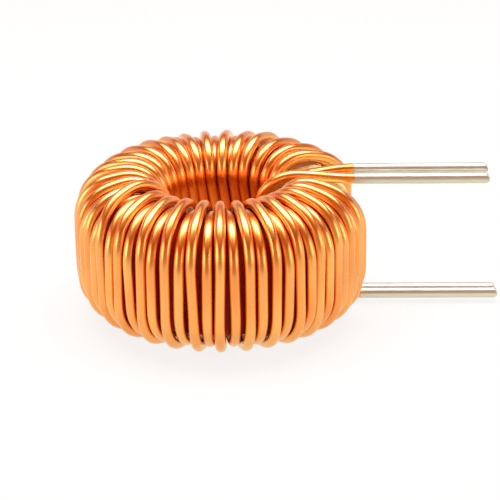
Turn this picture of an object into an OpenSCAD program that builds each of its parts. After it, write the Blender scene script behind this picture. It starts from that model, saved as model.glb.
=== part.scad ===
// Toroidal inductor wound with two enamelled wires in hand (bifilar).
// Strand A lies on the core. Strand B lies beside it round the outside and, towards the bore, where
// there is no room for both side by side, climbs onto A and drops through the bore as a second layer.

/* [Core] */
// Outer diameter of the coated core
core_od = 22.7; // [20:0.1:30]
// Diameter of the coated core's hole
core_hole_d = 13.1; // [12:0.1:16]
// Height of the coated core
core_h = 9.3; // [7:0.1:14]
// Rounding of the core's edges
core_edge_r = 1.6; // [0.8:0.1:1.8]

/* [Wire] */
// Diameter over the enamel
wire_d = 0.9; // [0.7:0.01:1]
// Gap between wire and core in the bore
seat_gap = 0.03; // [0.02:0.01:0.1]
// Least gap kept between neighbouring wires
side_gap = 0.09; // [0.08:0.01:0.15]

/* [Winding] */
// Arc of the outer wall that the turns take up
winding_arc = 325; // [180:1:330]
// Angle of the first turn from the leads' direction
first_angle = -5; // [-8:0.5:-3]
// Gap between neighbouring wires on the outer wall
outer_gap = 0.3; // [0.25:0.01:0.6]
// How far the outer legs stand off the core's wall
bulge = 0.7; // [0.3:0.05:1]
// How far the wires bow off the core's faces
bow = 0.35; // [0.1:0.05:0.5]
// How much wider the wires bend at the outer edge than its rounding calls for
shoulder_ease = 0.75; // [0.3:0.05:1]
// How far strand B rides above A at the outer edge
lift = 0.5; // [0.3:0.05:0.7]
// Gap kept where strand B climbs over its neighbours
climb_gap = 0.1; // [0.05:0.01:0.15]
// Greatest stray of an outer leg from its even place, in degrees
stray_angle = 0.35; // [0:0.05:0.5]

/* [Leads] */
// Bend radius of the start leads as they come up out of the bore
lead_bend_r = 2.2; // [1.5:0.1:3]
// Spacing of the two leads of a pair, sideways
lead_pitch = 1.55; // [1.55:0.01:1.7]
// Difference in height between the two leads of a pair
lead_stagger = 0.3; // [0.2:0.05:0.4]
// Side offset of strand B's start lead
start_offset = 0.75; // [0.6:0.05:1]
// Gap between strand B's start lead and the core's upper face
start_gap = 0.1; // [0.05:0.01:0.3]
// How far the start leads stand in from strand B's legs in the bore
start_inset = 2.25; // [2:0.05:2.5]
// Side offset of strand B's finish lead
finish_offset = 0.5; // [0.4:0.05:0.8]
// Gap between strand B's finish lead and the core's lower face
finish_gap = 0.7; // [0.6:0.01:0.75]
// Side offset of strand B's finish leg as it comes down the bore
leg_offset = 1.35; // [1.2:0.05:1.5]
// How far behind their tin the finish leads turn straight out
knee_back = 1.5; // [1.2:0.1:2]
// Angle by which the last turns draw back in the bore to leave room for the start leads
lead_room = 5; // [4:0.5:6]
// Number of turns that share that angle
room_turns = 20; // [15:1:25]
// Reach of the start leads' tips from the ring's axis
start_reach = 23.5; // [18:0.1:40]
// Reach of the finish leads' tips from the ring's axis
finish_reach = 24.6; // [18:0.1:40]

/* [Tinned ends] */
// Distance from the ring's axis at which the start leads' tin begins
start_tin_from = 11.7; // [11:0.1:15]
// Distance from the ring's axis at which the finish leads' tin begins
finish_tin_from = 12.4; // [12:0.1:15]
// How far ahead of the tin the stripped wire starts to narrow
strip_l = 0.8; // [0.6:0.1:1]
// Diameter of the stripped wire at its tip
bare_d = 0.86; // [0.6:0.01:0.88]
// Thickness of the tin coat
tin_t = 0.03; // [0.02:0.01:0.08]
// Length of the pinched tip
pinch_l = 0.8; // [0.4:0.1:1.5]
// Width of the flat left by the cutter
pinch_w = 0.3; // [0.2:0.05:0.5]

/* [Hidden] */
$fn = 48;

// Radii of the legs in the bore and on the outer wall, and heights of a wire on and over the core's face
bore_a_r = core_hole_d / 2 - wire_d / 2 - seat_gap;
outer_r = core_od / 2 + wire_d / 2 + bulge;
face_z = core_h / 2 + wire_d / 2;
seat_z = face_z + bow;

// The bends in the bore keep to the core's rounding, and those at the outer edge are wider
bore_bend_r = core_edge_r + wire_d / 2 + bow;
shoulder_r = core_edge_r + wire_d / 2 + bulge + shoulder_ease;

// Angle between neighbouring wires: the greater of what the outer wall and the bore have room for
wall_step = 2 * asin((wire_d + outer_gap) / 2 / outer_r);
bore_step = asin((wire_d + side_gap) / 2 / (bore_a_r - wire_d));
turns = floor((winding_arc / max(wall_step, bore_step) + 1) / 2);
step = winding_arc / (2 * turns - 1);

// Strand B's legs nest between A's in the bore
nest_d = wire_d + side_gap;
bore_b_r = bore_a_r * cos(step) - sqrt(max(0, nest_d ^ 2 - (bore_a_r * sin(step)) ^ 2));

// Strand B climbs at the least angle that keeps it clear of A where the wires crowd together
shoulder_x = outer_r - shoulder_r;
function crowd_z(r) = sqrt(max(0, (wire_d + climb_gap) ^ 2 - (2 * r * sin(step / 2)) ^ 2));
climb_step = 0.25;
climb = max([for (r = [bore_a_r : climb_step : shoulder_x - climb_step])
    atan((crowd_z(r) - lift) / (shoulder_x - r))]);

// Per strand: radius in the bore, lift above the core, angle of climb, place in the order of wires
A = [bore_a_r, 0, 0, 0];
B = [bore_b_r, lift, climb, 1];
function bore_r(s) = s[0];
function lift_of(s) = s[1];
function climb_of(s) = s[2];
function order(s) = s[3];

// A bridge is the part over one face: bend at the bore, straight, shoulder at the outer edge.
// Its heights are measured from mid height, for a bridge of the given length in plan.
function shoulder_z(s) = seat_z + lift_of(s) - shoulder_r;
function top_out(s, l) = [l - shoulder_r + shoulder_r * sin(climb_of(s)),
                          shoulder_z(s) + shoulder_r * cos(climb_of(s))];
function top_in(s, l) = let (x = bore_bend_r * (1 + sin(climb_of(s))), o = top_out(s, l))
    [x, o[1] + (o[0] - x) * tan(climb_of(s))];
function foot_z(s, l) = top_in(s, l)[1] - bore_bend_r * cos(climb_of(s));

// The ring rests on strand B's loops, so z = 0 is level with them
mid_z = foot_z(B, outer_r - bore_b_r) + bore_bend_r + wire_d / 2;

// Small steady stray, so that the legs aren't quite even
function stray(k, n) = 0.6 * sin(137.5 * k * n + 57 * n) + 0.4 * sin(132 * k + 229 * n);
bore_share = 0.4;
base_share = 0.6;

// Turns run clockwise seen from above, and each leans over to the next one in the bore
function polar(r, a) = [r * cos(a), r * sin(a)];
function wire_no(s, i) = 2 * i + order(s);
function wall_angle(s, i) = first_angle - step * wire_no(s, i);
function bore_angle(s, i) =
    wall_angle(s, i) + lead_room * max(0, 1 - (turns - 1 - i) / room_turns);
function wall_top(s, i) = polar(outer_r, wall_angle(s, i) + stray_angle * stray(wire_no(s, i), 1));
function wall_base(s, i) =
    polar(outer_r, wall_angle(s, i) + base_share * stray_angle * stray(wire_no(s, i), 2));
function bore_top(s, i) =
    polar(bore_r(s), bore_angle(s, i) + bore_share * stray_angle * stray(wire_no(s, i), 3));
function bore_base(s, i) =
    polar(bore_r(s), bore_angle(s, i) - 2 * step + bore_share * stray_angle * stray(wire_no(s, i), 4));

// Leads run out along +X. In each pair B is the nearer to the first turn and to mid height.
function start_y(s) = start_offset + lead_pitch * (1 - order(s));
function start_z(s) = face_z + start_gap + lead_stagger * (1 - order(s));
function leg_y(s) = leg_offset + lead_pitch * (1 - order(s));
function finish_y(s) = finish_offset + lead_pitch * (1 - order(s));
function finish_z(s) = -(face_z + finish_gap + lead_stagger * (1 - order(s)));
start_x = bore_b_r - start_inset;
tin_gap = 0.01;
tin_d = wire_d + 2 * (tin_gap + tin_t);
tip_l = 0.4;

// Short gap left at each joint and bridged by a bead, so that no two faces coincide
joint_gap = 0.05;
bead_d = 1.01 * wire_d;

function lift_to(p, z) = [p[0], p[1], z];

// Straight wire from p to q, with a bead on its axis at p and, unless beads is 1, at q
module rod(p, q, beads = 2) {
    v = q - p;
    l = norm(v);
    translate(p)
        rotate([0, acos(v[2] / l), atan2(v[1], v[0])]) {
            translate([0, 0, joint_gap])
                cylinder(d = wire_d, h = l - 2 * joint_gap);
            for (i = [0 : beads - 1])
                translate([0, 0, i * l])
                    sphere(d = bead_d);
        }
}

// Straight end of a lead along +X, narrowing once the wire is stripped, with a bead where it starts
module lead_end(p, from, reach) {
    narrow_z = from - strip_l - p[0];
    tip_z = reach - tip_l - p[0];
    translate(p)
        rotate([0, 90, 0]) {
            rotate_extrude()
                polygon([[0, joint_gap], [wire_d / 2, joint_gap], [wire_d / 2, narrow_z],
                         [bare_d / 2, tip_z], [0, tip_z]]);
            sphere(d = bead_d);
        }
}

// Bent wire in the XZ plane, from angle a to angle b about the origin
module bend(r, a, b) {
    short = joint_gap / r * 180 / PI;
    rotate([90, 0, 0])
        rotate([0, 0, a + short])
            rotate_extrude(angle = b - a - 2 * short)
                translate([r, 0])
                    circle(d = wire_d);
}

// Bridge of length l in plan, with its foot in the bore above the origin
module bridge_profile(s, l) {
    in = top_in(s, l);
    out = top_out(s, l);
    translate([bore_bend_r, 0, foot_z(s, l)])
        bend(bore_bend_r, 90 - climb_of(s), 180);
    rod([in[0], 0, in[1]], [out[0], 0, out[1]]);
    translate([l - shoulder_r, 0, shoulder_z(s)])
        bend(shoulder_r, 0, 90 - climb_of(s));
}

// Bridge between a leg in the bore and one on the outer wall, given in plan
module bridge(s, bore, wall, over) {
    v = wall - bore;
    translate(bore)
        rotate([0, 0, atan2(v[1], v[0])])
            if (over)
                bridge_profile(s, norm(v));
            else
                mirror([0, 0, 1])
                    bridge_profile(s, norm(v));
}

// Foot of the leg that comes up to the start lead's bend, and the angle at which it slants
function base_foot(s) = foot_z(s, norm(wall_base(s, 0) - bore_base(s, -1)));
function start_slant(s) = atan2(bore_base(s, -1)[0] - start_x,
                                start_z(s) - lead_bend_r + base_foot(s));
function start_foot(s) = [start_x + lead_bend_r * (1 - cos(start_slant(s))), start_y(s),
                          start_z(s) - lead_bend_r * (1 + sin(start_slant(s)))];

// Start lead: in from +X over the top, then down through the bore
module start_lead(s) {
    x = start_x + lead_bend_r;
    y = start_y(s);
    lead_end([x, y, start_z(s)], start_tin_from, start_reach);
    translate([x, y, start_z(s) - lead_bend_r])
        bend(lead_bend_r, 90, 180 + start_slant(s));
    rod(lift_to(bore_base(s, -1), -base_foot(s)), start_foot(s));
}

function leg_x(s) = sqrt(bore_r(s) ^ 2 - leg_y(s) ^ 2);

// Finish lead: down through the bore, out along the underside to its knee, and then straight to +X
module finish_lead(s) {
    x = leg_x(s);
    y = leg_y(s);
    z = finish_z(s);
    top = bore_top(s, turns - 1);
    rod(lift_to(top, foot_z(s, norm(wall_top(s, turns - 1) - top))), [x, y, z + bore_bend_r]);
    knee = [finish_tin_from - knee_back, finish_y(s), z];
    way = knee - [x, y, z];
    turn_to = atan2(way[1], way[0]);
    translate([x, y, z + bore_bend_r])
        rotate([0, 0, turn_to])
            translate([bore_bend_r, 0, 0])
                bend(bore_bend_r, 180, 270);
    rod([x, y, z] + bore_bend_r * [cos(turn_to), sin(turn_to), 0], knee, 1);
    lead_end(knee, finish_tin_from, finish_reach);
}

// One turn: under the core, up the outer wall, over the top and, unless it is the last, down the bore
module turn(s, i) {
    from = bore_base(s, i - 1);
    base = wall_base(s, i);
    top = wall_top(s, i);
    into = bore_top(s, i);
    bridge(s, from, base, false);
    rod(lift_to(base, -shoulder_z(s)), lift_to(top, shoulder_z(s)));
    bridge(s, into, top, true);
    if (i < turns - 1) {
        next = bore_base(s, i);
        next_l = norm(wall_base(s, i + 1) - next);
        rod(lift_to(into, foot_z(s, norm(top - into))), lift_to(next, -foot_z(s, next_l)));
    }
}

module strand(s) {
    translate([0, 0, mid_z]) {
        start_lead(s);
        for (i = [0 : turns - 1])
            turn(s, i);
        finish_lead(s);
    }
}

module strand_a() {
    color("#e8842e") strand(A);
}

module strand_b() {
    color("#f09a46") strand(B);
}

// Pressed ring with rounded edges
module core() {
    color("#efe27a")
        translate([0, 0, mid_z - core_h / 2])
            rotate_extrude()
                translate([core_hole_d / 2, 0])
                    rounded_rect((core_od - core_hole_d) / 2, core_h, core_edge_r);
}

module rounded_rect(w, h, r) {
    translate([r, 0]) square([w - 2 * r, h]);
    translate([0, r]) square([w, h - 2 * r]);
    for (x = [r, w - r], y = [r, h - r])
        translate([x, y]) circle(r);
}

// Coat of tin on one stripped end, closed at its tip where the cutter pinched it
module tinned_end(y, z, from, reach) {
    l = reach - from;
    color("#d9d6cc")
        translate([from, y, mid_z + z])
            rotate([0, 90, 0])
                difference() {
                    intersection() {
                        cylinder(d = tin_d, h = l);
                        pinch(l);
                    }
                    translate([0, 0, -1])
                        cylinder(d = wire_d + 2 * tin_gap, h = l - tip_l + tin_gap + 1);
                }
}

// Side view of the pinched end, as a slab that the coat is cut to
module pinch(l) {
    rotate([90, 0, 0])
        linear_extrude(height = 2 * tin_d, center = true)
            polygon([[-tin_d, -1], [tin_d, -1], [tin_d, l - pinch_l], [pinch_w / 2, l],
                     [-pinch_w / 2, l], [-tin_d, l - pinch_l]]);
}

module tinned_start_a() tinned_end(start_y(A), start_z(A), start_tin_from, start_reach);
module tinned_start_b() tinned_end(start_y(B), start_z(B), start_tin_from, start_reach);
module tinned_finish_a() tinned_end(finish_y(A), finish_z(A), finish_tin_from, finish_reach);
module tinned_finish_b() tinned_end(finish_y(B), finish_z(B), finish_tin_from, finish_reach);

core();
strand_a();
strand_b();
tinned_start_a();
tinned_start_b();
tinned_finish_a();
tinned_finish_b();
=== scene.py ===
import math

import bpy
from mathutils import Matrix, Vector


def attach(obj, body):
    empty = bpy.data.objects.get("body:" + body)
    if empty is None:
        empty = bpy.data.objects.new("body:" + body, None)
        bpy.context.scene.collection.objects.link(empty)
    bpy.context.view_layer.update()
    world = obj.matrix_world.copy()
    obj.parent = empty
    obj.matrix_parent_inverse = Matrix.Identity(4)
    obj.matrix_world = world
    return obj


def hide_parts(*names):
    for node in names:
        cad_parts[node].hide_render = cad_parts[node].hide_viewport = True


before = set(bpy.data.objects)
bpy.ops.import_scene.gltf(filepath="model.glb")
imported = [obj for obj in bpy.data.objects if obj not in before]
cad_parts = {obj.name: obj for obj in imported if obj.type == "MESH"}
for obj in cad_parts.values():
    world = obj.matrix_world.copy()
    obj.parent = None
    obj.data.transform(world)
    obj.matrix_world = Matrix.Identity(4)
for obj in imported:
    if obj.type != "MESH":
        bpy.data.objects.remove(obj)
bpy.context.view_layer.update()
mm = 0.001

print("stage: frame loaded")


def addNode(tree, kind, inputs=None, **settings):
    # an input is given by name or number, as a value or as the socket that feeds it
    node = tree.nodes.new(kind)
    for key, value in settings.items():
        setattr(node, key, value)
    for key, value in (inputs or {}).items():
        if isinstance(value, bpy.types.NodeSocket):
            tree.links.new(value, node.inputs[key])
        else:
            node.inputs[key].default_value = value
    return node


def calc(tree, operation, *values):
    return addNode(tree, "ShaderNodeMath", dict(enumerate(values)), operation=operation).outputs[0]


def newTree(name, inputs, outputs):
    tree = bpy.data.node_groups.new(name, "GeometryNodeTree")
    for label, kind in inputs:
        tree.interface.new_socket(label, in_out="INPUT", socket_type="NodeSocket" + kind)
    for label, kind in outputs:
        tree.interface.new_socket(label, in_out="OUTPUT", socket_type="NodeSocket" + kind)
    return tree, tree.nodes.new("NodeGroupInput").outputs, tree.nodes.new("NodeGroupOutput").inputs


def pointCloud(name, points, weights=None):
    # a mesh of loose points that a tree samples in order
    mesh = bpy.data.meshes.new(name)
    mesh.from_pydata([tuple(p) for p in points], [], [])
    for label, values in (weights or {}).items():
        mesh.attributes.new(label, "FLOAT", "POINT").data.foreach_set("value", values)
    return bpy.data.objects.new(name, mesh)


def applyTree(tree, settings, name):
    # runs the tree on an empty mesh and keeps the result as a plain mesh
    holder = bpy.data.objects.new(name + "Holder", bpy.data.meshes.new(name + "Holder"))
    bpy.context.scene.collection.objects.link(holder)
    modifier = holder.modifiers.new("Build", "NODES")
    modifier.node_group = tree
    for item in tree.interface.items_tree:
        if item.in_out == "INPUT" and item.name in settings:
            modifier[item.identifier] = settings[item.name]
    shown = holder.evaluated_get(bpy.context.evaluated_depsgraph_get())
    mesh = bpy.data.meshes.new_from_object(shown)
    mesh.name = name
    bpy.data.objects.remove(holder)
    piece = bpy.data.objects.new(name, mesh)
    bpy.context.scene.collection.objects.link(piece)
    return piece


# winding: one turn's shape, repeated round the ring; millimetres and degrees
winding = dict(
    coreOuter=22.7, coreHole=13.1, coreHeight=9.3, coreEdge=1.6,
    wireDiameter=0.9, shownDiameter=0.96, bareDiameter=0.84, seatGap=0.03, sideGap=0.09,
    arc=325.0, firstAngle=-5.0, outerGap=0.3, bulge=0.7, bow=0.35, shoulderEase=0.75,
    # the upper strand's lift at the shoulder, its softer inner bend, and the step of the search for its climb
    lift=0.5, climbGap=0.1, softBend=0.45, climbStep=0.25,
    # stray of the upper shoulders, and what the bore and the lower shoulders have of it; stray of the height
    stray=0.5, boreShare=0.7, baseShare=1.2, riseStray=0.07,
    leadPitch=1.55, leadStagger=0.3, startOffset=0.75, startGap=0.1,
    finishOffset=0.5, finishGap=0.7, legOffset=1.35, kneeBack=1.5,
    # how far the last turns make way in the bore for the leads
    room=5.0, roomTurns=20,
    startReach=23.5, finishReach=24.6, startTinFrom=11.7, finishTinFrom=12.4,
    # the wire ends short of the tin's tip, and its path is even from a little before the tin
    tipInset=0.3, evenBefore=0.3,
    # the four leads lie within this reach of this y
    leadMiddle=1.4, leadHalf=1.6,
    # points on a leg, an inner bend and a shoulder; how soon a rise grows and an inset fades
    legSteps=8, bendPoints=9, shoulderPoints=13, risePower=0.7, insetFade=3,
    # points on the leads' straights, bends, legs and knee, and the room left beside a bend
    startPoints=30, startBendPoints=14, finishPoints=24, finishBendPoints=9, leadLegSteps=9, kneeSteps=4,
    besideBend=0.4,
    spacing=0.3, sides=16, blur=3,
    # azimuth in the even winding, and how far the hand-laid turns lie from it there
    drift=[(6, -8), (-5, -8), (-30, -5), (-63, -1.8), (-90, -1.5), (-120, -1), (-180, 0), (-240, 2),
           (-270, 2.4), (-300, 1), (-315, -0.6), (-330, -3.6)],
    # turns pulled aside: wire number, shift of the top's inner end, of the leg's foot, extra height, inset
    pulled={
        18: (-1.0, -0.5, 0.0, 0.0), 19: (-2.5, -1.5, 0.0, 0.0), 20: (-4.0, -2.0, 0.0, 0.0),
        21: (-6.0, -3.0, -0.05, 0.0), 22: (-8.0, -4.0, 0.0, 0.0), 23: (-10.0, -5.0, -0.05, 0.0),
        24: (-12.5, -6.5, 0.0, 0.0), 25: (-15.0, -8.0, 0.32, 0.5), 26: (-2.0, -1.0, 0.0, 0.0),
        27: (-3.0, -1.5, -0.08, 0.0), 29: (-4.0, -3.0, -0.1, 0.0), 31: (-2.0, -1.0, -0.05, 0.0),
        44: (0.0, 0.0, 0.25, 0.0), 52: (0.0, 0.0, 0.25, 0.0), 53: (0.5, 0.0, 0.18, 0.0),
        54: (0.0, 0.0, 0.2, 0.0),
    },
    # the near start lead bows up, the far one dips and slides toward it
    leadBow=0.33, nearBend=3.3, nearLeft=3.2, farBend=2.6, farLeft=3.9, farDip=0.4, farSlide=0.55,
)


def sind(a):
    return math.sin(math.radians(a))


def cosd(a):
    return math.cos(math.radians(a))


def windingLayout(v):
    # sizes that follow from the values above, as in the CAD source
    w = dict(v)
    w["boreA"] = v["coreHole"] / 2 - v["wireDiameter"] / 2 - v["seatGap"]
    w["outer"] = v["coreOuter"] / 2 + v["wireDiameter"] / 2 + v["bulge"]
    w["face"] = v["coreHeight"] / 2 + v["wireDiameter"] / 2
    w["seat"] = w["face"] + v["bow"]
    w["boreBend"] = v["coreEdge"] + v["wireDiameter"] / 2 + v["bow"]
    w["shoulder"] = v["coreEdge"] + v["wireDiameter"] / 2 + v["bulge"] + v["shoulderEase"]
    wallStep = 2 * math.degrees(math.asin((v["wireDiameter"] + v["outerGap"]) / 2 / w["outer"]))
    nest = v["wireDiameter"] + v["sideGap"]
    boreStep = math.degrees(math.asin(nest / 2 / (w["boreA"] - v["wireDiameter"])))
    w["turns"] = math.floor((v["arc"] / max(wallStep, boreStep) + 1) / 2)
    w["step"] = step = v["arc"] / (2 * w["turns"] - 1)
    w["boreB"] = w["boreA"] * cosd(step) - math.sqrt(max(0, nest ** 2 - (w["boreA"] * sind(step)) ** 2))
    shoulderX = w["outer"] - w["shoulder"]
    climb, r = -90.0, w["boreA"]
    while r <= shoulderX - v["climbStep"] + 1e-9:
        crowd = math.sqrt(max(0, (v["wireDiameter"] + v["climbGap"]) ** 2 - (2 * r * sind(step / 2)) ** 2))
        climb = max(climb, math.degrees(math.atan((crowd - v["lift"]) / (shoulderX - r))))
        r += v["climbStep"]
    w["strands"] = [
        dict(order=0, bore=w["boreA"], lift=0.0, climb=0.0),
        dict(order=1, bore=w["boreB"], lift=v["lift"], climb=climb),
    ]
    for s in w["strands"]:
        s["shoulderZ"] = w["seat"] + s["lift"] - w["shoulder"]
    high = w["strands"][1]
    w["mid"] = footHeight(w, high, w["outer"] - high["bore"]) + w["boreBend"] + v["wireDiameter"] / 2
    return w


def bridgeEnds(w, s, length):
    out = (length - w["shoulder"] * (1 - sind(s["climb"])), s["shoulderZ"] + w["shoulder"] * cosd(s["climb"]))
    x = w["boreBend"] * (1 + sind(s["climb"]))
    return (x, out[1] + (out[0] - x) * math.tan(math.radians(s["climb"]))), out


def footHeight(w, s, length):
    return bridgeEnds(w, s, length)[0][1] - w["boreBend"] * cosd(s["climb"])


def fan(first, last, count):
    return [first + (last - first) * i / (count - 1) for i in range(count)]


def turnShape(w, s):
    # (radius, lean, height) along one turn: down the bore, out below, up the wall and back over the top
    length = w["outer"] - s["bore"]
    foot, bend, shoulder = footHeight(w, s, length), w["boreBend"], w["shoulder"]
    soft, steps = w["softBend"] * s["order"], w["legSteps"]
    bridge = [(s["bore"] + (bend + soft) * (1 + cosd(a)), foot - soft + (bend + soft) * sind(a))
              for a in fan(180, 90 - s["climb"], w["bendPoints"])]
    bridge += [(s["bore"] + length - shoulder * (1 - cosd(a)), s["shoulderZ"] + shoulder * sind(a))
               for a in fan(90 - s["climb"], 0, w["shoulderPoints"])]
    points = [(s["bore"], 1 - k / steps, (foot - soft) * (1 - 2 * k / steps)) for k in range(1, steps)]
    below = [(r, 0.0, -z) for r, z in bridge]
    wall = [(w["outer"], 0.0, s["shoulderZ"] * (2 * k / steps - 1)) for k in range(1, steps)]
    above = [(r, 0.0, z) for r, z in reversed(bridge)]
    legCount = len(points)
    corners = ("boreTopBefore", "boreFootBefore", "wallFoot", "wallTop", "boreTop")
    weights = {k: [] for k in (*corners, "rise", "insetNow")}

    def weigh(**given):
        for key in weights:
            weights[key].append(given.get(key, 0.0))

    for r, lean, z in points:
        weigh(boreTopBefore=lean, boreFootBefore=1 - lean)
    for r, lean, z in below:
        share = (r - s["bore"]) / length
        weigh(boreFootBefore=1 - share, wallFoot=share)
    for r, lean, z in wall:
        share = (z / s["shoulderZ"] + 1) / 2
        weigh(wallFoot=1 - share, wallTop=share)
    for r, lean, z in above:
        share = (r - s["bore"]) / length
        weigh(wallTop=share, boreTop=1 - share, rise=math.sin(math.pi * share) ** w["risePower"],
              insetNow=max(0.0, 1 - w["insetFade"] * share))
    points += below + wall + above
    return points, weights, legCount


def strayOf(k, n):
    # uneven but the same each run, between -1 and 1
    return 0.6 * sind(137.5 * k * n + 57 * n) + 0.4 * sind(132 * k + 229 * n)


def evenAngle(w, no):
    return w["firstAngle"] - w["step"] * no


def pullOf(w, no):
    return w["pulled"].get(no, (0.0, 0.0, 0.0, 0.0))


def driftAt(w, angle):
    for (a, first), (b, second) in zip(w["drift"], w["drift"][1:]):
        if angle >= b:
            return second + (first - second) * (angle - b) / (a - b)
    return w["drift"][-1][1]


def boreShift(w, no, draw):
    left = w["turns"] - 1 - no // 2
    return w["room"] * max(0, 1 - left / w["roomTurns"]) + w["boreShare"] * w["stray"] * strayOf(no, draw)


def boreTopShift(w, no):
    return driftAt(w, evenAngle(w, no)) + boreShift(w, no, 3) + pullOf(w, no)[0]


def boreFootShift(w, no):
    # the foot of the leg that starts at this wire's inner end and leads to the next turn of its strand
    return driftAt(w, evenAngle(w, no + 2)) + boreShift(w, no, 4) + pullOf(w, no)[1]


def turnTable(w, s):
    # one row a turn, from the one before the first: the shift of its four corners in radians, and its rise
    numbers = [2 * t + s["order"] for t in range(-1, w["turns"])]
    drifts = [driftAt(w, evenAngle(w, no)) for no in numbers]
    base = w["stray"] * w["baseShare"]
    columns = {
        "wallTopShift": [d + w["stray"] * strayOf(no, 1) for d, no in zip(drifts, numbers)],
        "wallFootShift": [d + base * strayOf(no, 2) for d, no in zip(drifts, numbers)],
        "boreTopShift": [boreTopShift(w, no) for no in numbers],
        "boreFootShift": [boreFootShift(w, no) for no in numbers],
    }
    table = {label: [math.radians(v) for v in values] for label, values in columns.items()}
    riseStray = w["riseStray"] * s["order"]
    table["turnRise"] = [(riseStray * strayOf(no, 5) + pullOf(w, no)[2]) * mm for no in numbers]
    table["turnInset"] = [pullOf(w, no)[3] * mm for no in numbers]
    return pointCloud("turnTable", [(0, 0, 0)] * len(numbers), table)


def onPlan(r, a, z):
    return (r * cosd(a), r * sind(a), z)


def between(start, end, steps):
    # the points inside a straight stretch, without its ends
    return [tuple(Vector(start).lerp(Vector(end), k / steps)) for k in range(1, steps)]


def startLead(w, s):
    # in from the tip, over the ring and down the bore to where the turns begin
    near = s["order"]
    angle = evenAngle(w, near) + boreFootShift(w, near - 2)
    foot = onPlan(s["bore"], angle, 0)
    drop = footHeight(w, s, w["outer"] - s["bore"]) - w["softBend"] * near
    left, bend = (w["nearLeft"], w["nearBend"]) if near else (w["farLeft"], w["farBend"])
    y = w["startOffset"] + w["leadPitch"] * (1 - near)
    z = w["face"] + w["startGap"] + w["leadStagger"] * (1 - near)
    rise, slide = (w["leadBow"], 0.0) if near else (-w["farDip"], -w["farSlide"])

    evenTo = w["startTinFrom"] - w["evenBefore"]

    def eased(x):
        # 0 outside the ring, 1 where the lead begins to bend down
        t = min(1.0, max(0.0, (evenTo - x) / (evenTo - (left + bend))))
        return t * t * (3 - 2 * t)

    points = [(x, y + slide * eased(x), z + rise * eased(x))
              for x in fan(w["startReach"] - w["tipInset"], left + bend + w["besideBend"], w["startPoints"])]
    y, z = y + slide, z + rise
    slant = math.degrees(math.atan2(foot[0] - left, z - bend + drop))
    points += [(left + bend * (1 + cosd(a)), y, z - bend * (1 - sind(a)))
               for a in fan(90, 180 + slant, w["startBendPoints"])]
    points += between(points[-1], (foot[0], foot[1], -drop), w["leadLegSteps"])
    return points


def finishLead(w, s):
    # down the bore from the last turn, out along the underside to the knee and straight on
    no = 2 * (w["turns"] - 1) + s["order"]
    height = footHeight(w, s, w["outer"] - s["bore"]) - w["softBend"] * s["order"]
    top = onPlan(s["bore"], evenAngle(w, no) + boreTopShift(w, no), height)
    legY = w["legOffset"] + w["leadPitch"] * (1 - s["order"])
    outY = w["finishOffset"] + w["leadPitch"] * (1 - s["order"])
    z = -(w["face"] + w["finishGap"] + w["leadStagger"] * (1 - s["order"]))
    x, bend = math.sqrt(s["bore"] ** 2 - legY ** 2), w["boreBend"]
    knee = Vector((w["finishTinFrom"] - w["kneeBack"], outY, z))
    way = (knee - Vector((x, legY, z))).normalized()
    points = between(top, (x, legY, z + bend), w["leadLegSteps"])
    for a in fan(0, 90, w["finishBendPoints"]):
        out = bend * (1 - cosd(a))
        points.append((x + out * way.x, legY + out * way.y, z + bend * (1 - sind(a))))
    points += between(points[-1], knee, w["kneeSteps"])
    straight = fan(knee.x + w["besideBend"], w["finishReach"] - w["tipInset"], w["finishPoints"])
    points += [(k, outY, z) for k in straight]
    return points


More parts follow.
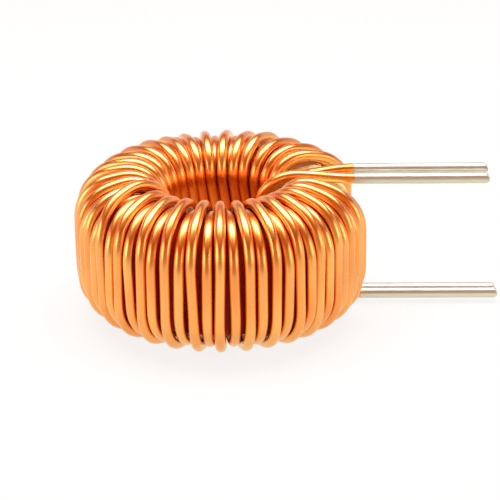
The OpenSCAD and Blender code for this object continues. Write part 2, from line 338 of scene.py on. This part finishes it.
def windingTree():
    tree, given, result = newTree(
        "windingTurns",
        [("Turn Shape", "Object"), ("Turn Table", "Object"), ("Start Lead", "Object"),
         ("Finish Lead", "Object"), ("Turns", "Int"), ("Leg Points", "Int"), ("Strand Order", "Int"),
         ("Step", "Float"), ("First Angle", "Float"), ("Start Tin", "Float"), ("Finish Tin", "Float"),
         ("Bare Share", "Float"), ("Mid Height", "Float"), ("Lead Middle", "Float"), ("Lead Half", "Float"),
         ("Wire Diameter", "Float"), ("Sides", "Int"), ("Point Spacing", "Float"), ("Smoothing", "Int"),
         ("Material", "Material")],
        [("Geometry", "Geometry")])
    parts = {label: addNode(tree, "GeometryNodeObjectInfo", {"Object": given[label]}).outputs["Geometry"]
             for label in ("Turn Shape", "Turn Table", "Start Lead", "Finish Lead")}
    sizes = {label: addNode(tree, "GeometryNodeAttributeDomainSize", {"Geometry": g}).outputs["Point Count"]
             for label, g in parts.items()}
    index = addNode(tree, "GeometryNodeInputIndex").outputs[0]
    position = addNode(tree, "GeometryNodeInputPosition").outputs[0]

    # which turn a point is in, and where along it
    fullTurns = calc(tree, "MULTIPLY", sizes["Turn Shape"], given["Turns"])
    turnPoints = calc(tree, "SUBTRACT", fullTurns, given["Leg Points"])
    total = calc(tree, "ADD", calc(tree, "ADD", turnPoints, sizes["Start Lead"]), sizes["Finish Lead"])
    along = calc(tree, "ADD", calc(tree, "SUBTRACT", index, sizes["Start Lead"]), given["Leg Points"])
    turn = calc(tree, "FLOOR", calc(tree, "DIVIDE", calc(tree, "ADD", along, 0.5), sizes["Turn Shape"]))
    place = calc(tree, "SUBTRACT", along, calc(tree, "MULTIPLY", turn, sizes["Turn Shape"]))
    wire = calc(tree, "MULTIPLY_ADD", turn, 2.0, given["Strand Order"])
    now = calc(tree, "ADD", turn, 1.0)

    def valueAt(part, value, at, kind):
        node = addNode(tree, "GeometryNodeSampleIndex", {
            "Geometry": parts[part], "Index": at}, data_type=kind)
        tree.links.new(value, node.inputs["Value"])
        return node.outputs[0]

    def sampledPoint(part, at):
        return valueAt(part, position, at, "FLOAT_VECTOR")

    def sampled(part, label, at):
        named = addNode(tree, "GeometryNodeInputNamedAttribute", {"Name": label}, data_type="FLOAT")
        return valueAt(part, named.outputs[0], at, "FLOAT")

    split = addNode(tree, "ShaderNodeSeparateXYZ", {0: sampledPoint("Turn Shape", place)}).outputs
    shifts = (("boreTopBefore", "boreTopShift", turn), ("boreFootBefore", "boreFootShift", turn),
              ("wallFoot", "wallFootShift", now), ("wallTop", "wallTopShift", now),
              ("boreTop", "boreTopShift", now))
    angle = calc(tree, "SUBTRACT", given["First Angle"], calc(tree, "MULTIPLY", given["Step"], wire))
    leaned = calc(tree, "MULTIPLY", calc(tree, "MULTIPLY", split["Y"], 2.0), given["Step"])
    angle = calc(tree, "ADD", angle, leaned)
    for weight, shift, row in shifts:
        share = sampled("Turn Shape", weight, place)
        angle = calc(tree, "MULTIPLY_ADD", share, sampled("Turn Table", shift, row), angle)
    rise = sampled("Turn Shape", "rise", place)
    height = calc(tree, "MULTIPLY_ADD", rise, sampled("Turn Table", "turnRise", now), split["Z"])
    radius = split["X"]
    for weight, row in (("boreTopBefore", turn), ("insetNow", now)):
        share, inset = sampled("Turn Shape", weight, place), sampled("Turn Table", "turnInset", row)
        radius = calc(tree, "SUBTRACT", radius, calc(tree, "MULTIPLY", share, inset))
    turned = addNode(tree, "ShaderNodeCombineXYZ", {
        "X": calc(tree, "MULTIPLY", radius, calc(tree, "COSINE", angle)),
        "Y": calc(tree, "MULTIPLY", radius, calc(tree, "SINE", angle)),
        "Z": height}).outputs[0]

    inStart = calc(tree, "LESS_THAN", index, sizes["Start Lead"])
    afterTurns = calc(tree, "ADD", sizes["Start Lead"], turnPoints)
    inFinish = calc(tree, "GREATER_THAN", index, calc(tree, "SUBTRACT", afterTurns, 0.5))
    startPoint = sampledPoint("Start Lead", index)
    finishPoint = sampledPoint("Finish Lead", calc(tree, "SUBTRACT", index, afterTurns))
    begun = addNode(tree, "GeometryNodeSwitch", {0: inStart, 1: turned, 2: startPoint}, input_type="VECTOR")
    whole = addNode(tree, "GeometryNodeSwitch", {
        0: inFinish, 1: begun.outputs[0], 2: finishPoint}, input_type="VECTOR")

    # the points become one wire, evenly spaced and eased, and then a round tube
    points = addNode(tree, "GeometryNodePoints", {"Count": total, "Position": whole.outputs[0]}).outputs[0]
    wireLine = addNode(tree, "GeometryNodePointsToCurves", {"Points": points}).outputs[0]
    even = addNode(tree, "GeometryNodeResampleCurve", {
        "Curve": wireLine, "Length": given["Point Spacing"]}, mode="LENGTH").outputs[0]
    eased = addNode(tree, "GeometryNodeBlurAttribute", {
        "Iterations": given["Smoothing"]}, data_type="FLOAT_VECTOR")
    tree.links.new(position, eased.inputs[0])
    smooth = addNode(tree, "GeometryNodeSetPosition", {
        "Geometry": even, "Position": eased.outputs[0]}).outputs[0]
    spline = addNode(tree, "GeometryNodeSplineParameter").outputs
    lengthways = addNode(tree, "GeometryNodeStoreNamedAttribute", {
        "Geometry": smooth, "Name": "along", "Value": spline["Length"]},
        data_type="FLOAT", domain="POINT").outputs[0]
    wireRadius = calc(tree, "MULTIPLY", given["Wire Diameter"], 0.5)
    ring = addNode(tree, "GeometryNodeCurvePrimitiveCircle", {
        "Resolution": given["Sides"], "Radius": wireRadius}).outputs[0]

    # stripped and narrower inside the tin
    spot = addNode(tree, "ShaderNodeSeparateXYZ", {0: position}).outputs
    above = calc(tree, "GREATER_THAN", spot["Z"], given["Mid Height"])
    startLater = calc(tree, "SUBTRACT", given["Start Tin"], given["Finish Tin"])
    tinFrom = calc(tree, "MULTIPLY_ADD", above, startLater, given["Finish Tin"])
    aside = calc(tree, "ABSOLUTE", calc(tree, "SUBTRACT", spot["Y"], given["Lead Middle"]))
    beyond = calc(tree, "GREATER_THAN", spot["X"], tinFrom)
    inTin = calc(tree, "MULTIPLY", beyond, calc(tree, "LESS_THAN", aside, given["Lead Half"]))
    stripped = calc(tree, "SUBTRACT", 1.0, given["Bare Share"])
    thick = calc(tree, "SUBTRACT", 1.0, calc(tree, "MULTIPLY", inTin, stripped))
    tube = addNode(tree, "GeometryNodeCurveToMesh", {
        "Curve": lengthways, "Profile Curve": ring, "Scale": thick, "Fill Caps": True}).outputs[0]
    soft = addNode(tree, "GeometryNodeSetShadeSmooth", {"Geometry": tube}).outputs[0]
    real = addNode(tree, "GeometryNodeRealizeInstances", {"Geometry": soft}).outputs[0]
    dressed = addNode(tree, "GeometryNodeSetMaterial", {"Geometry": real, "Material": given["Material"]})
    tree.links.new(dressed.outputs[0], result["Geometry"])
    return tree


def newMaterial(name):
    material = bpy.data.materials.new(name)
    material.use_nodes = True
    tree = material.node_tree
    return material, tree, tree.nodes["Principled BSDF"]


def blendColors(tree, factor, first, second):
    return addNode(tree, "ShaderNodeMix", {0: factor, 6: first, 7: second}, data_type="RGBA").outputs[2]


def noise(tree, where, grain):
    # a grain is its scale, per metre, and its level of detail
    node = addNode(tree, "ShaderNodeTexNoise", {"Vector": where, "Scale": grain[0], "Detail": grain[1]})
    return node.outputs["Fac"]


def ranged(tree, value, source=(0.0, 1.0), target=(0.0, 1.0)):
    return addNode(tree, "ShaderNodeMapRange", {
        "Value": value, "From Min": source[0], "From Max": source[1],
        "To Min": target[0], "To Max": target[1]}).outputs[0]


def addBump(tree, shader, height, bump):
    # a bump is its strength and its depth in metres
    node = addNode(tree, "ShaderNodeBump", {"Strength": bump[0], "Distance": bump[1], "Height": height})
    tree.links.new(node.outputs[0], shader.inputs["Normal"])


# enamelled copper: its cloud and grain are a scale and a level of detail
copperFinish = dict(
    bright=(0.985, 0.455, 0.09, 1.0), deep=(0.94, 0.3, 0.026, 1.0), rough=(0.24, 0.34),
    cloud=(260.0, 3.0), grain=(900.0, 2.0), bump=(0.12, 0.00004), coatRough=0.18, coatIor=1.8,
    # length of wire over which the tint drifts, in millimetres, its share beside the cloud, and its range
    tintLength=9.0, tintDetail=1.0, tintShare=0.75, tintRange=(0.35, 0.65),
    # how far the second strand's pattern lies from the first one's, in metres
    strandShift=0.013,
)


def copperMaterial(name, v, shift):
    # enamelled copper: metal under a clear coat, its tint drifting slowly along the wire
    material, tree, shader = newMaterial(name)
    where = addNode(tree, "ShaderNodeTexCoord").outputs["Object"]
    placed = addNode(tree, "ShaderNodeMapping", {"Vector": where, "Location": (shift, 0.0, 0.0)}).outputs[0]
    along = addNode(tree, "ShaderNodeAttribute", attribute_name="along").outputs["Fac"]
    length = calc(tree, "MULTIPLY_ADD", along, 1 / (v["tintLength"] * mm), shift / mm)
    drift = addNode(tree, "ShaderNodeTexNoise", {
        "W": length, "Scale": 1.0, "Detail": v["tintDetail"]}, noise_dimensions="1D").outputs["Fac"]
    cloud = noise(tree, placed, v["cloud"])
    clouded = calc(tree, "MULTIPLY", cloud, 1 - v["tintShare"])
    mixed = calc(tree, "MULTIPLY_ADD", drift, v["tintShare"], clouded)
    factor = ranged(tree, mixed, v["tintRange"])
    tree.links.new(blendColors(tree, factor, v["bright"], v["deep"]), shader.inputs["Base Color"])
    shader.inputs["Metallic"].default_value = 1.0
    fine = noise(tree, placed, v["grain"])
    tree.links.new(ranged(tree, fine, target=v["rough"]), shader.inputs["Roughness"])
    shader.inputs["Coat Weight"].default_value = 1.0
    shader.inputs["Coat Roughness"].default_value = v["coatRough"]
    shader.inputs["Coat IOR"].default_value = v["coatIor"]
    addBump(tree, shader, cloud, v["bump"])
    return material


# core coat: its grain and patch are a scale and a level of detail
coreFinish = dict(
    pale=(0.98, 0.95, 0.58, 1.0), yellow=(0.97, 0.9, 0.42, 1.0), paintedShade=(0.55, 0.034, 0.002, 1.0),
    grain=(1400.0, 4.0), patch=(300.0, 2.0), rough=0.42, specular=0.12, bump=(0.35, 0.0001),
    # the open part, in radians: azimuth of its middle, where it ends either side, how ragged the end is;
    # outside it the core gets painted shade
    openMiddle=0.33, openEnd=(0.52, 0.62), openRagged=0.12,
)


def coreMaterial(v):
    # yellow coat, pale where it lies open beside the leads, and painted shade between the turns: dark red,
    # like the shaded copper reflections there
    material, tree, shader = newMaterial("coreCoatAndShade")
    where = addNode(tree, "ShaderNodeTexCoord").outputs["Object"]
    grain = noise(tree, where, v["grain"])
    patch = noise(tree, where, v["patch"])
    place = addNode(tree, "ShaderNodeSeparateXYZ", {0: where}).outputs
    azimuth = calc(tree, "ARCTAN2", place["Y"], place["X"])
    aside = calc(tree, "ABSOLUTE", calc(tree, "SUBTRACT", azimuth, v["openMiddle"]))
    ragged = calc(tree, "MULTIPLY_ADD", calc(tree, "SUBTRACT", patch, 0.5), v["openRagged"], aside)
    bare = blendColors(tree, grain, v["pale"], v["yellow"])
    # painted shade: dark red wherever the core lies outside the open part, between the turns
    coatAndShade = blendColors(tree, ranged(tree, ragged, v["openEnd"]), bare, v["paintedShade"])
    tree.links.new(coatAndShade, shader.inputs["Base Color"])
    shader.inputs["Roughness"].default_value = v["rough"]
    shader.inputs["Specular IOR Level"].default_value = v["specular"]
    addBump(tree, shader, grain, v["bump"])
    return material


# solder tin: its grain is a scale and a level of detail
tinFinish = dict(
    bright=(0.78, 0.82, 0.79, 1.0), dull=(0.6, 0.64, 0.61, 1.0), stretch=(0.12, 1.0, 1.0),
    grain=(2200.0, 3.0), metal=0.9, rough=(0.26, 0.42), bump=(0.25, 0.00005),
)


def tinMaterial(v):
    # the grain is drawn out along the lead
    material, tree, shader = newMaterial("solderTin")
    where = addNode(tree, "ShaderNodeTexCoord").outputs["Object"]
    drawn = addNode(tree, "ShaderNodeMapping", {"Vector": where, "Scale": v["stretch"]}).outputs[0]
    grain = noise(tree, drawn, v["grain"])
    tree.links.new(blendColors(tree, grain, v["bright"], v["dull"]), shader.inputs["Base Color"])
    shader.inputs["Metallic"].default_value = v["metal"]
    tree.links.new(ranged(tree, grain, target=v["rough"]), shader.inputs["Roughness"])
    addBump(tree, shader, grain, v["bump"])
    return material


w = windingLayout(winding)
tree = windingTree()
for s, label in zip(w["strands"], "ab"):
    shape, weights, legCount = turnShape(w, s)
    # the lean isn't a length, so it isn't scaled
    lifted = [(r * mm, lean, (z + w["mid"]) * mm) for r, lean, z in shape]
    turnCloud = pointCloud("turnShape" + label, lifted, weights)
    leads = [pointCloud(name + label, [(x * mm, y * mm, (z + w["mid"]) * mm) for x, y, z in points])
             for name, points in (("startLead", startLead(w, s)), ("finishLead", finishLead(w, s)))]
    shift = copperFinish["strandShift"] * s["order"]
    material = copperMaterial("enamelledCopper" + label.upper(), copperFinish, shift)
    table = turnTable(w, s)
    piece = applyTree(tree, {
        "Turn Shape": turnCloud, "Turn Table": table, "Start Lead": leads[0], "Finish Lead": leads[1],
        "Turns": w["turns"], "Leg Points": legCount, "Strand Order": s["order"],
        "Step": math.radians(w["step"]), "First Angle": math.radians(w["firstAngle"]),
        "Start Tin": w["startTinFrom"] * mm, "Finish Tin": w["finishTinFrom"] * mm,
        "Bare Share": w["bareDiameter"] / w["shownDiameter"], "Mid Height": w["mid"] * mm,
        "Lead Middle": w["leadMiddle"] * mm, "Lead Half": w["leadHalf"] * mm,
        "Wire Diameter": w["shownDiameter"] * mm, "Sides": w["sides"], "Point Spacing": w["spacing"] * mm,
        "Smoothing": w["blur"], "Material": material}, "winding" + label.upper())
    for o in [turnCloud, table, *leads]:
        bpy.data.objects.remove(o)
    print("winding", label, len(piece.data.vertices), "points", len(piece.data.materials), "materials")
    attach(piece, "root")
    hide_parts("strand_" + label)
print("stage: winding made")

# core and tinned ends keep their CAD mesh
coreCoatAndShade, solder = coreMaterial(coreFinish), tinMaterial(tinFinish)
for name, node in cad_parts.items():
    if name == "core" or name.startswith("tinned"):
        node.data.materials.clear()
        node.data.materials.append(coreCoatAndShade if name == "core" else solder)
print("stage: core and tin dressed")


def flatPlane(name, size, z):
    half = size / 2
    mesh = bpy.data.meshes.new(name)
    corners = [(-half, -half, z), (half, -half, z), (half, half, z), (-half, half, z)]
    mesh.from_pydata(corners, [], [(0, 1, 2, 3)])
    plane = bpy.data.objects.new(name, mesh)
    bpy.context.scene.collection.objects.link(plane)
    return plane


# floor: metres; the share of what the camera sees that is lit by the lamps
sheet = dict(
    size=3.0, color=(0.8, 0.8, 0.8, 1.0), litShare=0.16, white=(1.0, 1.0, 1.0, 1.0),
    # what gloss sees of it: the warm tone of its glow, where the glow fades in front and how dim it gets
    # there; painted light for the copper to reflect
    glossColor=(1.0, 0.93, 0.7, 1.0), frontEdge=(-0.06, -0.038), frontLevel=0.4,
)


def floorMaterial(v):
    # white sheet: plain diffuse, with a glow for the camera and for gloss; for gloss the glow is warm and
    # fades a little in front of the part, a painted reflection in the copper
    material = bpy.data.materials.new("floorPaint")
    material.use_nodes = True
    tree = material.node_tree
    tree.nodes.clear()
    path = addNode(tree, "ShaderNodeLightPath").outputs
    where = addNode(tree, "ShaderNodeTexCoord").outputs["Object"]
    place = addNode(tree, "ShaderNodeSeparateXYZ", {0: where}).outputs
    # painted shade in the reflections: the glow that gloss sees fades toward the front
    dimmed = ranged(tree, place["Y"], v["frontEdge"], (v["frontLevel"], 1.0))
    level = calc(tree, "MAXIMUM", dimmed, path["Is Camera Ray"])
    diffuse = addNode(tree, "ShaderNodeBsdfDiffuse", {"Color": v["color"]}).outputs[0]
    # painted reflection: gloss sees a warm tone, the camera sees white
    tone = blendColors(tree, path["Is Camera Ray"], v["glossColor"], v["white"])
    glow = addNode(tree, "ShaderNodeEmission", {"Color": tone, "Strength": level}).outputs[0]
    shown = addNode(tree, "ShaderNodeMixShader", {0: v["litShare"], 1: glow, 2: diffuse}).outputs[0]
    seen = calc(tree, "MAXIMUM", path["Is Camera Ray"], path["Is Glossy Ray"])
    both = addNode(tree, "ShaderNodeMixShader", {0: seen, 1: diffuse, 2: shown}).outputs[0]
    addNode(tree, "ShaderNodeOutputMaterial", {"Surface": both})
    return material


floor = flatPlane("floor", sheet["size"], 0.0)
floor.data.materials.append(floorMaterial(sheet))

# room: the dim part in front, the paler wall behind and the darker band between lamps and horizon
room = dict(
    white=(1.0, 1.0, 1.0, 1.0), frontColor=(0.58, 0.34, 0.18, 1.0), backColor=(0.84, 0.62, 0.64, 1.0),
    depthRange=(-0.2, 0.3), bandColor=(0.36, 0.085, 0.025, 1.0), bandHeight=0.6, bandWidth=(0.08, 0.24),
)


def studioWorld(v):
    # white to the camera, and the room to everything else
    world = bpy.data.worlds.new("studioWorld")
    world.use_nodes = True
    tree = world.node_tree
    tree.nodes.clear()
    path = addNode(tree, "ShaderNodeLightPath").outputs
    way = addNode(tree, "ShaderNodeTexCoord").outputs["Generated"]
    place = addNode(tree, "ShaderNodeSeparateXYZ", {0: way}).outputs
    walls = blendColors(tree, ranged(tree, place["Y"], v["depthRange"]), v["frontColor"], v["backColor"])
    offBand = calc(tree, "ABSOLUTE", calc(tree, "SUBTRACT", place["Z"], v["bandHeight"]))
    banded = blendColors(tree, ranged(tree, offBand, v["bandWidth"]), v["bandColor"], walls)
    shown = blendColors(tree, path["Is Camera Ray"], banded, v["white"])
    glow = addNode(tree, "ShaderNodeBackground", {"Color": shown, "Strength": 1.0}).outputs[0]
    addNode(tree, "ShaderNodeOutputWorld", {"Surface": glow})
    return world


bpy.context.scene.world = studioWorld(room)

# lamps: place, aim and size in millimetres, radiance and colour
lamps = {
    "topLight": ((0, 22, 150), (0, 22, 0), (210, 124), 2.2, (1.0, 1.0, 1.0)),
    "topCore": ((0, 20, 146), (0, 20, 0), (185, 50), 4.6, (1.0, 1.0, 1.0)),
    "leftLight": ((-172, -100, 58), (0, 0, 58), (150, 115), 2.5, (1.0, 0.9, 0.72)),
    "rightLight": ((172, -100, 58), (0, 0, 58), (150, 115), 2.0, (1.0, 0.9, 0.72)),
}


def softbox(name, place, aim, size, radiance, color):
    lamp = bpy.data.lights.new(name, "AREA")
    lamp.shape = "RECTANGLE"
    lamp.size, lamp.size_y = size[0] * mm, size[1] * mm
    lamp.energy = radiance * math.pi * lamp.size * lamp.size_y
    lamp.color = color
    box = bpy.data.objects.new(name, lamp)
    box.location = [c * mm for c in place]
    way = Vector([a - p for a, p in zip(aim, place)])
    box.rotation_euler = way.to_track_quat("-Z", "Y").to_euler()
    box.visible_camera = False
    bpy.context.scene.collection.objects.link(box)


for name, values in lamps.items():
    softbox(name, *values)

# camera: millimetres and degrees; the shift is in shares of the view's width, the clip in metres
studio = dict(
    target=(0.0, 0.0, 6.6255), elevation=24.05, azimuth=1.6, roll=-0.89, distance=170.0,
    lens=137.9448, sensor=36.0, shift=(0.05632, -0.02706), clip=(0.01, 10.0),
)


def placeCamera(v):
    data = bpy.data.cameras.new("camera")
    camera = bpy.data.objects.new("camera", data)
    bpy.context.scene.collection.objects.link(camera)
    e, a = math.radians(v["elevation"]), math.radians(v["azimuth"])
    back = Vector((math.sin(a) * math.cos(e), -math.cos(a) * math.cos(e), math.sin(e)))
    turn = (-back).to_track_quat("-Z", "Y")
    camera.rotation_mode = "QUATERNION"
    camera.rotation_quaternion = turn @ Matrix.Rotation(math.radians(v["roll"]), 3, "Z").to_quaternion()
    camera.location = (Vector(v["target"]) + back * v["distance"]) * mm
    data.sensor_width = v["sensor"]
    data.lens = v["lens"]
    data.shift_x, data.shift_y = v["shift"]
    data.clip_start, data.clip_end = v["clip"]
    bpy.context.scene.camera = camera


placeCamera(studio)
bpy.context.scene.view_settings.view_transform = "Standard"
print("stage: studio made")
